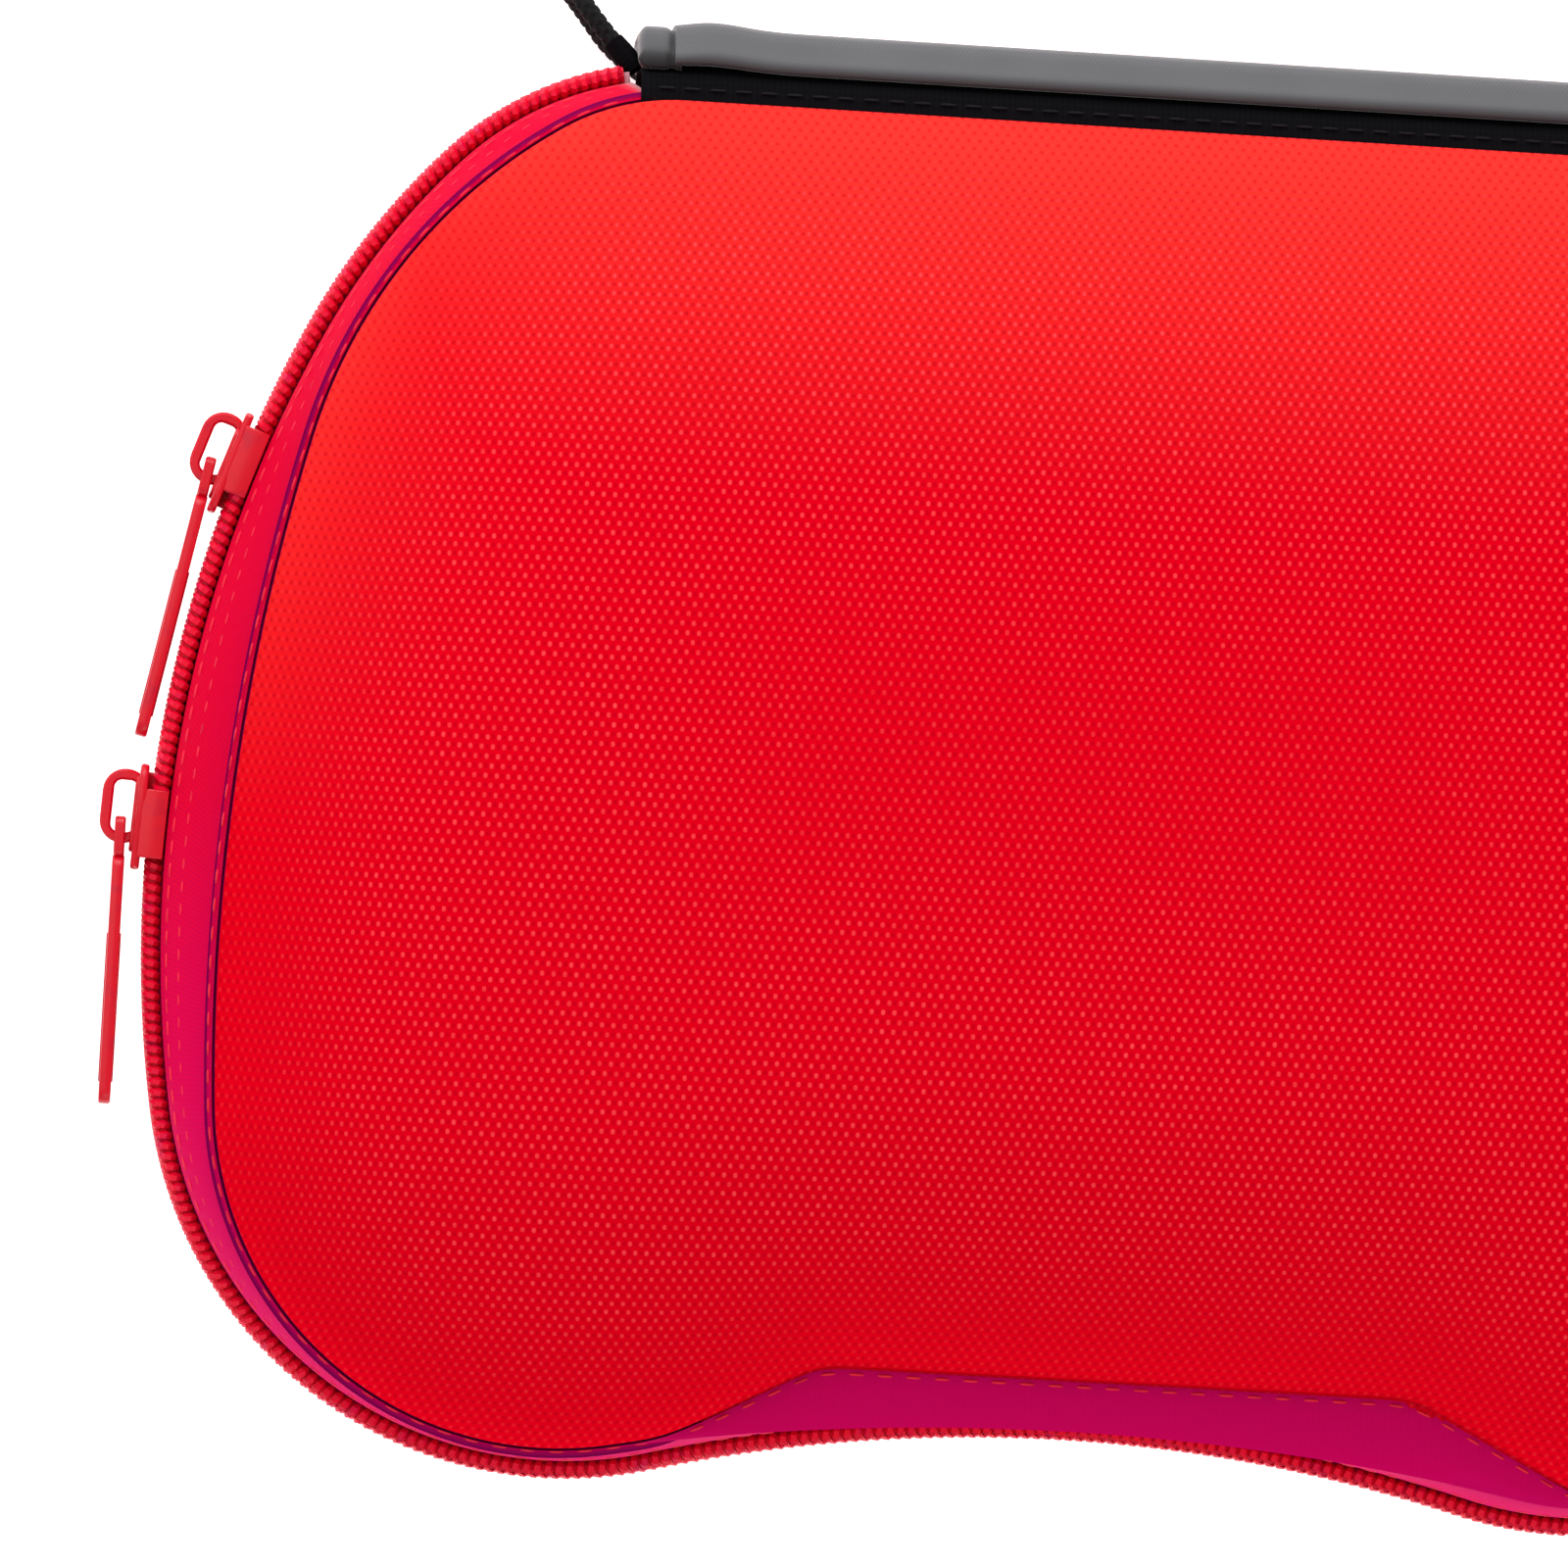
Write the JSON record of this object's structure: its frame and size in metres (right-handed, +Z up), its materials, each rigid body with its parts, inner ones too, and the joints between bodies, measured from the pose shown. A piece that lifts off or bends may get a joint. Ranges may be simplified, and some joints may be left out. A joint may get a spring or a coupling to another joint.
{
  "type": "zip-around hard carry case",
  "caption": "Moulded fabric-covered hard case with rounded lobes, opening like a book on a fabric spine, closed by a zip with paired sliders, with a padded strap and a hanging cord.",
  "frame": {"origin": "centre of the flat face of the base shell that the closed case rests on", "axes": "+X across the case's width, away from the sliders; +Y from the front notch to the spine and carry strap; +Z up out of the lid"},
  "size_m": [0.198, 0.1589, 0.066],
  "materials": {
    "red_fabric": "plain-woven polyester over moulded foam, matt with a slight sheen",
    "red_tape": "smooth woven zip tape",
    "red_coil": "nylon coil",
    "red_enamel": "baked red enamel on die-cast zinc",
    "black_fabric": "fine black woven polyester",
    "strap_fabric": "smooth dark grey padded strap cover",
    "strap_foam": "closed-cell foam",
    "stiff_board": "polypropylene board",
    "lining": "black tricot lining",
    "black_mesh": "black knitted mesh",
    "black_elastic": "ribbed black elastic",
    "cord": "black braided polyester cord"
  },
  "bodies": {
    "base": {"base_shell": "red_fabric", "base_lining": "lining", "base_rim_binding": "black_fabric", "base_zip_tape": "red_tape", "base_zip_teeth": "red_coil", "base_spine_flap": "black_fabric", "zip_end_tab_left": "black_fabric", "zip_end_tab_right": "black_fabric", "holding_strap": "black_elastic", "hang_cord": "cord"},
    "spine": {"spine_strip": "black_fabric", "spine_stiffener": "stiff_board", "strap_tab_left": "black_fabric", "strap_tab_right": "black_fabric"},
    "lid": {"lid_shell": "red_fabric", "lid_lining": "lining", "lid_rim_binding": "black_fabric", "lid_zip_tape": "red_tape", "lid_zip_teeth": "red_coil", "lid_spine_flap": "black_fabric", "mesh_pocket": "black_mesh", "pocket_elastic": "black_elastic"},
    "carry_strap": {"strap_cover": "strap_fabric", "strap_core": "strap_foam"},
    "lower_slider": {"lower_slider": "red_enamel"},
    "upper_slider": {"upper_slider": "red_enamel"},
    "lower_pull": {"lower_pull": "red_enamel"},
    "upper_pull": {"upper_pull": "red_enamel"}
  },
  "joints": [
    {"name": "spine_fold", "type": "hinge", "parent": "base", "child": "spine", "pos_m": [0, 0.0722, 0.026], "axis": [-1, 0, 0], "range_deg": [0, 90]},
    {"name": "lid_fold", "type": "hinge", "parent": "spine", "child": "lid", "pos_m": [0, 0.0722, 0.042], "axis": [-1, 0, 0], "range_deg": [0, 90]},
    {"name": "strap_lift", "type": "slide", "parent": "spine", "child": "carry_strap", "axis": [0, 1, 0], "range_m": [0, 0.008]},
    {"name": "lower_slider_travel", "type": "hinge", "parent": "base", "child": "lower_slider", "pos_m": [0.0353, -0.0147, 0.034], "axis": [0, 0, 1], "range_deg": [-1, 10.4]},
    {"name": "upper_slider_travel", "type": "hinge", "parent": "base", "child": "upper_slider", "pos_m": [0.0353, -0.0147, 0.034], "axis": [0, 0, -1], "range_deg": [0, 4.6]},
    {"name": "lower_pull_swing", "type": "hinge", "parent": "lower_slider", "child": "lower_pull", "pos_m": [-0.09916, -0.00859, 0.034], "axis": [0, 0, -1], "range_deg": [0, 125]},
    {"name": "upper_pull_swing", "type": "hinge", "parent": "upper_slider", "child": "upper_pull", "pos_m": [-0.09219, 0.02846, 0.034], "axis": [0, 0, -1], "range_deg": [0, 125]}
  ],
  "couplings": [
    {"joint": "lid_fold", "follows": "spine_fold", "ratio": 1}
  ]
}
